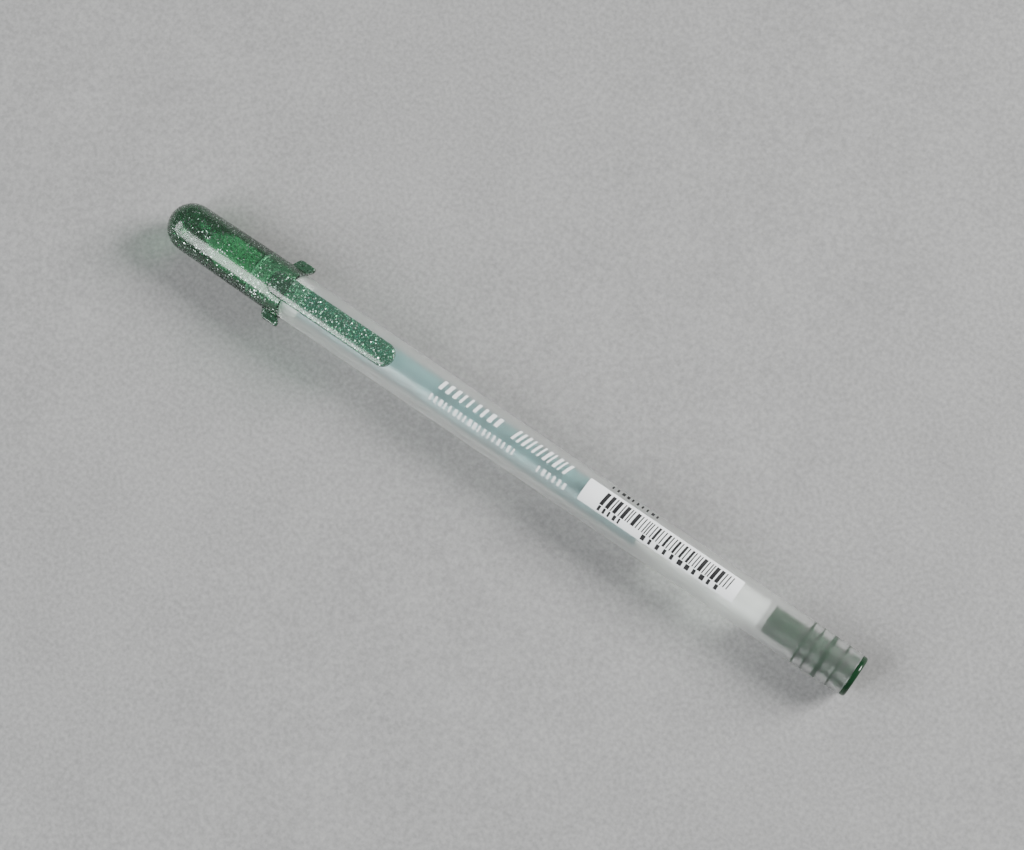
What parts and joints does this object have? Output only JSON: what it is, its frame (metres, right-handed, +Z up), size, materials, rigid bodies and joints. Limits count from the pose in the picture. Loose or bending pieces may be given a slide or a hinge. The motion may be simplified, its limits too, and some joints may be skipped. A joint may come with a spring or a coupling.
{
  "type": "gel pen",
  "caption": "Capped gel pen with a translucent barrel, visible ink tube, glittery clip cap with anti-roll ears and a tail plug; writes with a rolling ball.",
  "frame": {"origin": "under the middle of the capped pen, on the surface that the cap's rim rests on", "axes": "+X along the pen from the cap's dome to the tail plug, +Z up through the pocket clip, +Y towards one of the two ears"},
  "size_m": [0.149, 0.0128, 0.0111],
  "materials": {
    "barrel_plastic": "frosted translucent polypropylene",
    "nose_plastic": "milky translucent plastic",
    "point_metal": "turned nickel silver",
    "ball_metal": "polished hard metal",
    "tube_plastic": "clear soft plastic",
    "ink": "dark green gel",
    "follower_gel": "clear grease",
    "plug_plastic": "glossy dark green",
    "cap_plastic": "translucent dark green with fine glitter",
    "label_film": "thin white film with printed bars"
  },
  "bodies": {
    "pen_barrel": {"barrel": "barrel_plastic", "label": "label_film"},
    "refill": {"nose_cone": "nose_plastic", "metal_point": "point_metal", "ink_tube": "tube_plastic", "gel_ink": "ink"},
    "ball": {"writing_ball": "ball_metal"},
    "follower": {"ink_follower": "follower_gel"},
    "cap": {"cap_shell": "cap_plastic"},
    "clip_arm": {"pocket_clip": "cap_plastic"},
    "plug": {"end_plug": "plug_plastic"}
  },
  "joints": [
    {"name": "refill_pull", "type": "slide", "parent": "pen_barrel", "child": "refill", "axis": [-1, 0, 0], "range_m": [0, 0.111]},
    {"name": "cap_pull", "type": "slide", "parent": "refill", "child": "cap", "axis": [-1, 0, 0], "range_m": [0, 0.03]},
    {"name": "clip_flex", "type": "hinge", "parent": "cap", "child": "clip_arm", "pos_m": [-0.0465, 0, 0.0105], "axis": [0, -1, 0], "range_deg": [0, 5], "stiffness_Nm_per_rad": 1},
    {"name": "ball_roll", "type": "hinge", "parent": "refill", "child": "ball", "pos_m": [-0.0673, 0, 0.00486], "axis": [0, 1, 0], "continuous": true},
    {"name": "ink_use", "type": "slide", "parent": "refill", "child": "follower", "axis": [-1, 0, 0], "range_m": [0, 0.08], "deforming": ["gel_ink"]},
    {"name": "plug_pull", "type": "slide", "parent": "pen_barrel", "child": "plug", "axis": [1, 0, 0], "range_m": [0, 0.02]}
  ]
}
